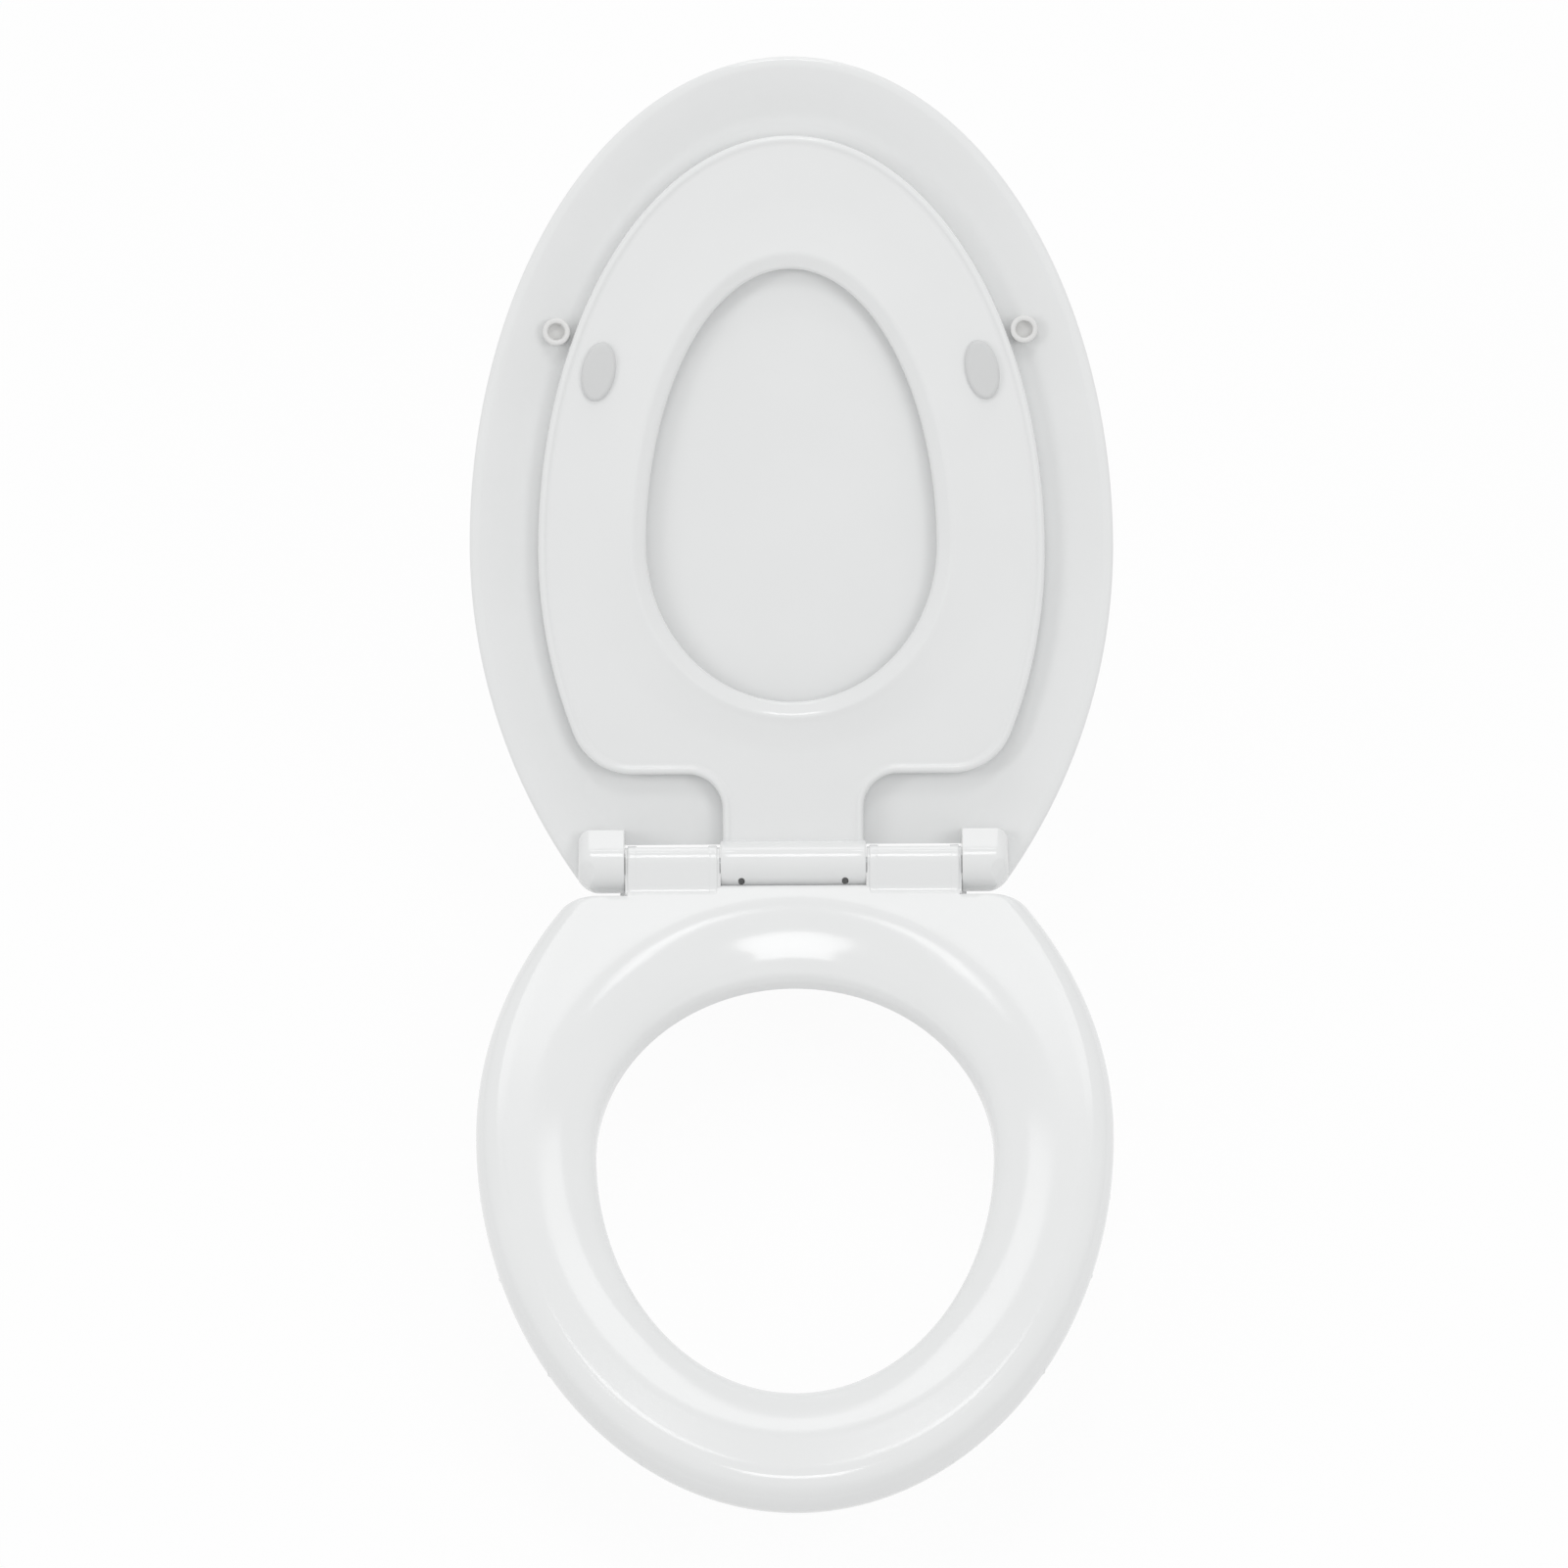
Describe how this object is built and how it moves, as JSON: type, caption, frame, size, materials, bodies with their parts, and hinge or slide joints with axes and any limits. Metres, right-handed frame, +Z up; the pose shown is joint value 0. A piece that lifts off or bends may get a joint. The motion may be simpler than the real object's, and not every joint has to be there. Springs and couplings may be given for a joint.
{
  "type": "family toilet seat",
  "caption": "Toilet seat with a lid, a fold-down child seat ring and an adult seat ring on one soft-close hinge line, fixed to the bowl by threaded studs.",
  "frame": {"origin": "on the bowl's top face, midway between the two fixing studs", "axes": "+Z up from the bowl, -Y towards the seat's front edge, X along the hinge line"},
  "size_m": [0.366, 0.8133, 0.3825],
  "materials": {
    "white_seat_plastic": "gloss",
    "white_rubber": "matte",
    "grey_rubber": "matte",
    "hinge_plastic": "satin",
    "damper_plastic": "satin",
    "steel": "brushed"
  },
  "bodies": {
    "hinge_base": {"left_hinge_post": "hinge_plastic", "left_damper": "damper_plastic", "left_hinge_pin": "steel", "left_fixing_stud": "steel", "left_gasket": "grey_rubber", "right_hinge_post": "hinge_plastic", "right_damper": "damper_plastic", "right_hinge_pin": "steel", "right_fixing_stud": "steel", "right_gasket": "grey_rubber"},
    "lid_assembly": {"lid": "white_seat_plastic", "left_lid_bumper": "white_rubber", "right_lid_bumper": "white_rubber", "lid_magnet": "steel", "lid_damper_shaft": "damper_plastic"},
    "child_seat_assembly": {"child_seat": "white_seat_plastic", "left_child_bumper": "grey_rubber", "right_child_bumper": "grey_rubber", "child_seat_magnet": "steel"},
    "adult_seat_assembly": {"adult_seat": "white_seat_plastic", "seat_damper_shaft": "damper_plastic", "front_left_seat_bumper": "white_rubber", "front_right_seat_bumper": "white_rubber", "rear_left_seat_bumper": "white_rubber", "rear_right_seat_bumper": "white_rubber"}
  },
  "joints": [
    {"name": "lid_hinge", "type": "hinge", "parent": "hinge_base", "child": "lid_assembly", "pos_m": [0, 0, 0.028], "axis": [-1, 0, 0], "range_deg": [-140, 0]},
    {"name": "child_seat_hinge", "type": "hinge", "parent": "lid_assembly", "child": "child_seat_assembly", "pos_m": [0, 0, 0.028], "axis": [1, 0, 0], "range_deg": [0, 140]},
    {"name": "adult_seat_hinge", "type": "hinge", "parent": "hinge_base", "child": "adult_seat_assembly", "pos_m": [0, 0, 0.028], "axis": [-1, 0, 0], "range_deg": [0, 140]}
  ]
}
